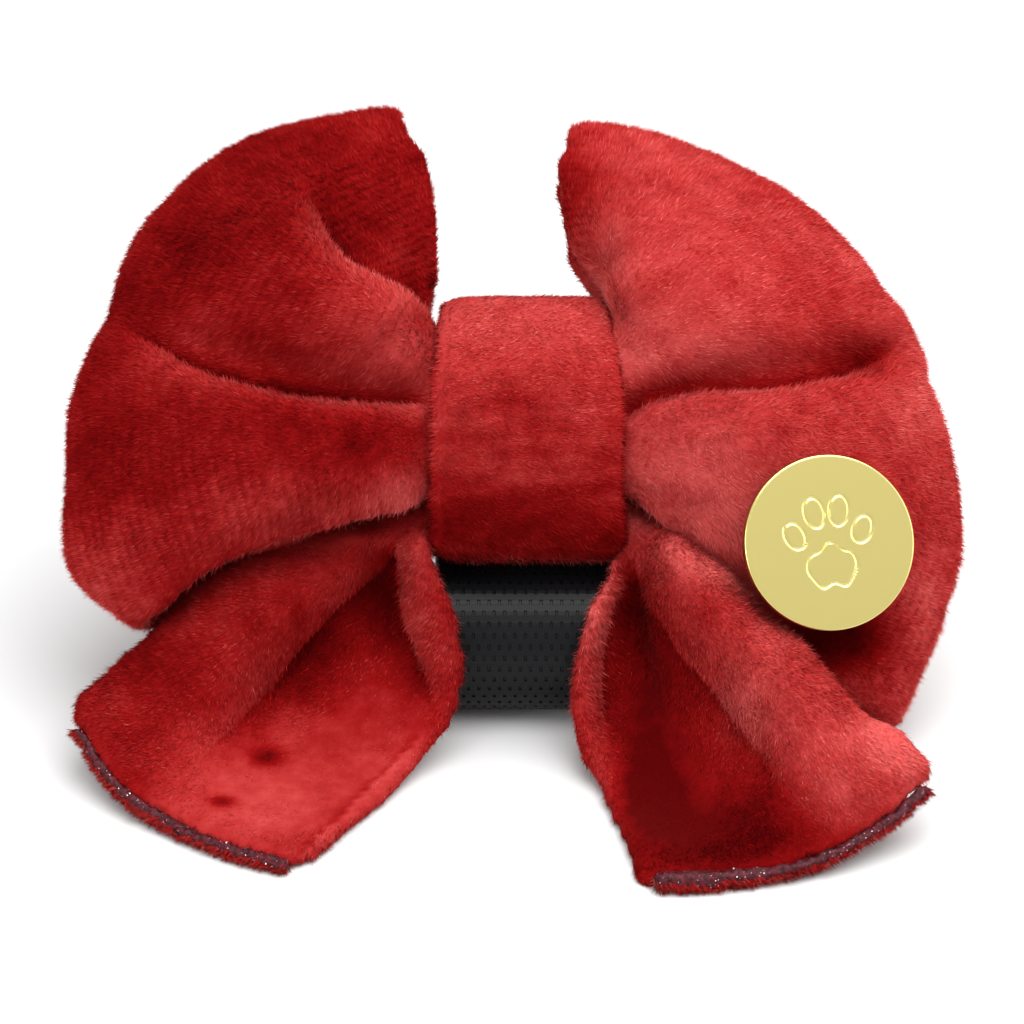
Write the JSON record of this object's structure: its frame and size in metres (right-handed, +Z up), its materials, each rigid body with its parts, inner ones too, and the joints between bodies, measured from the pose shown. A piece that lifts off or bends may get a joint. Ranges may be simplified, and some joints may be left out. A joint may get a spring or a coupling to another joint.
{
  "type": "dog harness bow",
  "caption": "Soft plush bow with a gathered knot, two folded wings and two tails, a plain gold disc on one wing and a black webbing loop that slides on a dog harness strap.",
  "frame": {"origin": "under the middle of the bounding box, on the surface that the bow stands on", "axes": "+Z up, -Y the way the bow faces, +X towards the wing that carries the disc"},
  "size_m": [0.1188, 0.0988, 0.0665],
  "materials": {
    "plush": "short-pile plush velvet, deep red, with a soft sheen",
    "hem": "cut and melted edge, dark and slightly glossy",
    "webbing": "black nylon webbing, smooth and glossy, with rows of small raised dashes",
    "gold": "pale yellow gold plate, smooth with a bright edge"
  },
  "bodies": {
    "root": {"left_wing": "plush", "right_wing": "plush", "knot_band": "plush", "left_tail": "plush", "right_tail": "plush", "left_hem": "hem", "right_hem": "hem", "webbing_loop": "webbing", "gold_disc": "gold"}
  },
  "joints": []
}
